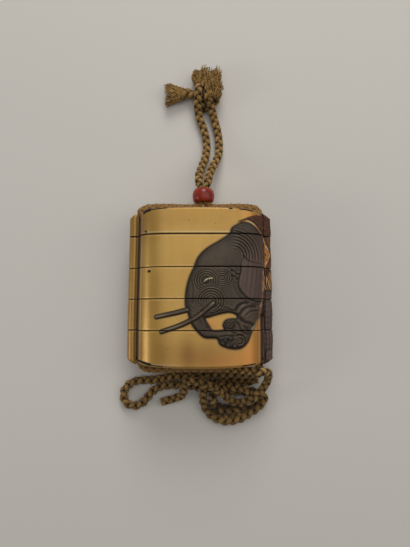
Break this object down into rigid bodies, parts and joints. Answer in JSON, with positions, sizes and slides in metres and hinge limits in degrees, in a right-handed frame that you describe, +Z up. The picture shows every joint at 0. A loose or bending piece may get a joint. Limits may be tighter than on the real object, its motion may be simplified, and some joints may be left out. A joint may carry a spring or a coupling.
{
  "type": "inro case",
  "caption": "Lying inro: a small tiered lacquered case with side cord runners, relief decoration, a bead and a braided cord tied in a bow.",
  "frame": {"origin": "on the surface that the case lies on, below the middle of the case's box without its cord, bead and knots", "axes": "+X across the case's width, +Y along the stack from the base to the lid, +Z up, out of the carved front"},
  "size_m": [0.0672, 0.1639, 0.0281],
  "materials": {
    "lacquer": "gold lacquer over wood, satin gloss, with dark raised lacquer relief",
    "coral": "polished",
    "cord": "braided, matt, frayed at its ends"
  },
  "bodies": {
    "root": {"lid": "lacquer", "case_1": "lacquer", "case_2": "lacquer", "case_3": "lacquer", "case_4": "lacquer", "bead": "coral", "cord_over_lid_left": "cord", "cord_over_lid_right": "cord", "cord_in_bead": "cord", "cord_above_bead_left": "cord", "cord_above_bead_right": "cord", "cord_in_runner_left": "cord", "cord_in_runner_right": "cord", "cord_under_base": "cord", "bow_side_loop": "cord", "bow_right_lead": "cord", "bow_left_loop": "cord", "bow_left_end": "cord", "bow_right_loop": "cord", "bow_right_end": "cord", "bow_knot": "cord", "end_knot": "cord", "frayed_tip_left": "cord", "frayed_tip_top": "cord"}
  },
  "joints": []
}
